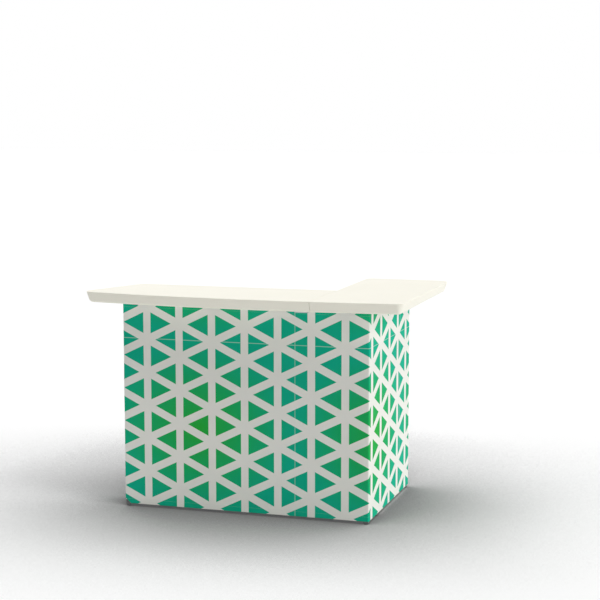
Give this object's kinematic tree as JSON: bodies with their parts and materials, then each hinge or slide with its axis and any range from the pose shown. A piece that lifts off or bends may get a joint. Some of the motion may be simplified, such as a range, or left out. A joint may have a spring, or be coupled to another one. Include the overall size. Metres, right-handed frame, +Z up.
{
  "type": "portable bar",
  "caption": "L-shaped portable bar with a bowed lift-off counter, printed cloth panels on a tube frame, open shelves behind and a return wing that folds flat.",
  "frame": {"origin": "on the floor under the middle of the outer box", "axes": "+X to the right as a guest sees the bar, +Y from the guests to the bartender, +Z up"},
  "size_m": [1.553, 1.033, 1.067],
  "materials": {
    "counter": "cream moulded plastic, satin",
    "frame": "grey powder coat",
    "connector": "dark grey moulded nylon",
    "shelf": "pale plastic board",
    "steel": "zinc-plated steel",
    "foot": "dark grey nylon",
    "tape": "grey hook tape",
    "wrap": "white coated cloth printed with teal and green triangles"
  },
  "bodies": {
    "box": {"front_left_post": "frame", "front_right_post": "frame", "back_left_post": "frame", "back_right_post": "frame", "front_middle_post": "frame", "front_top_rail": "frame", "front_bottom_rail": "frame", "back_top_rail": "frame", "back_bottom_rail": "frame", "left_top_rail": "frame", "left_bottom_rail": "frame", "right_top_rail": "frame", "right_bottom_rail": "frame", "top_connectors": "connector", "bottom_connectors": "connector", "frame_plugs": "connector", "frame_screws": "steel", "counter_arms": "frame", "locating_pegs": "connector", "lower_shelf": "shelf", "upper_shelf": "shelf", "shelf_angles": "frame", "middle_shelf_bracket": "frame", "shelf_fasteners": "steel", "hinge_fixed_leaves": "steel", "hinge_pins": "steel", "hinge_fixed_rivets": "steel", "hook_tapes": "tape", "front_wrap_panel": "wrap", "left_wrap_panel": "wrap", "right_wrap_panel": "wrap"},
    "wing": {"wing_front_post": "frame", "wing_back_post": "frame", "wing_top_rail": "frame", "wing_bottom_rail": "frame", "wing_connectors": "connector", "wing_plugs": "connector", "wing_screws": "steel", "wing_post_cap": "connector", "wing_foot_seat": "connector", "hinge_moving_leaves": "steel", "hinge_moving_rivets": "steel", "wing_hook_tapes": "tape", "wing_wrap_panel": "wrap"},
    "main_counter": {"main_top": "counter", "latch_plates": "steel", "latch_screws": "steel"},
    "return_counter": {"return_top": "counter", "latch_keepers": "steel", "keeper_screws": "steel"},
    "front_lever": {"front_latch_lever": "steel"},
    "front_bail": {"front_latch_bail": "steel"},
    "rear_lever": {"rear_latch_lever": "steel"},
    "rear_bail": {"rear_latch_bail": "steel"},
    "front_left_foot": {"front_left_foot": "foot"},
    "front_right_foot": {"front_right_foot": "foot"},
    "back_left_foot": {"back_left_foot": "foot"},
    "back_right_foot": {"back_right_foot": "foot"},
    "wing_foot": {"wing_foot": "foot"}
  },
  "joints": [
    {"name": "wing_swing", "type": "hinge", "parent": "box", "child": "wing", "pos_m": [0.5389, -0.0805, 0.5], "axis": [0, 0, 1], "range_deg": [0, 90]},
    {"name": "main_counter_lift", "type": "slide", "parent": "box", "child": "main_counter", "axis": [0, 0, 1], "range_m": [0, 0.12]},
    {"name": "return_counter_lift", "type": "slide", "parent": "main_counter", "child": "return_counter", "axis": [0, 0, 1], "range_m": [0, 0.12]},
    {"name": "front_lever_swing", "type": "hinge", "parent": "main_counter", "child": "front_lever", "pos_m": [0.308, -0.393, 1.005], "axis": [0, -1, 0], "range_deg": [0, 150]},
    {"name": "front_bail_swing", "type": "hinge", "parent": "front_lever", "child": "front_bail", "pos_m": [0.3, -0.393, 1.009], "axis": [0, -1, 0], "range_deg": [-150, 0]},
    {"name": "rear_lever_swing", "type": "hinge", "parent": "main_counter", "child": "rear_lever", "pos_m": [0.308, -0.178, 1.005], "axis": [0, -1, 0], "range_deg": [0, 150]},
    {"name": "rear_bail_swing", "type": "hinge", "parent": "rear_lever", "child": "rear_bail", "pos_m": [0.3, -0.178, 1.009], "axis": [0, -1, 0], "range_deg": [-150, 0]},
    {"name": "front_left_foot_screw", "type": "slide", "parent": "box", "child": "front_left_foot", "axis": [0, 0, -1], "range_m": [0, 0.012]},
    {"name": "front_right_foot_screw", "type": "slide", "parent": "box", "child": "front_right_foot", "axis": [0, 0, -1], "range_m": [0, 0.012]},
    {"name": "back_left_foot_screw", "type": "slide", "parent": "box", "child": "back_left_foot", "axis": [0, 0, -1], "range_m": [0, 0.012]},
    {"name": "back_right_foot_screw", "type": "slide", "parent": "box", "child": "back_right_foot", "axis": [0, 0, -1], "range_m": [0, 0.012]},
    {"name": "wing_foot_screw", "type": "slide", "parent": "wing", "child": "wing_foot", "axis": [0, 0, -1], "range_m": [0, 0.012]}
  ],
  "couplings": [
    {"joint": "front_bail_swing", "follows": "front_lever_swing", "ratio": -1},
    {"joint": "rear_bail_swing", "follows": "rear_lever_swing", "ratio": -1}
  ]
}
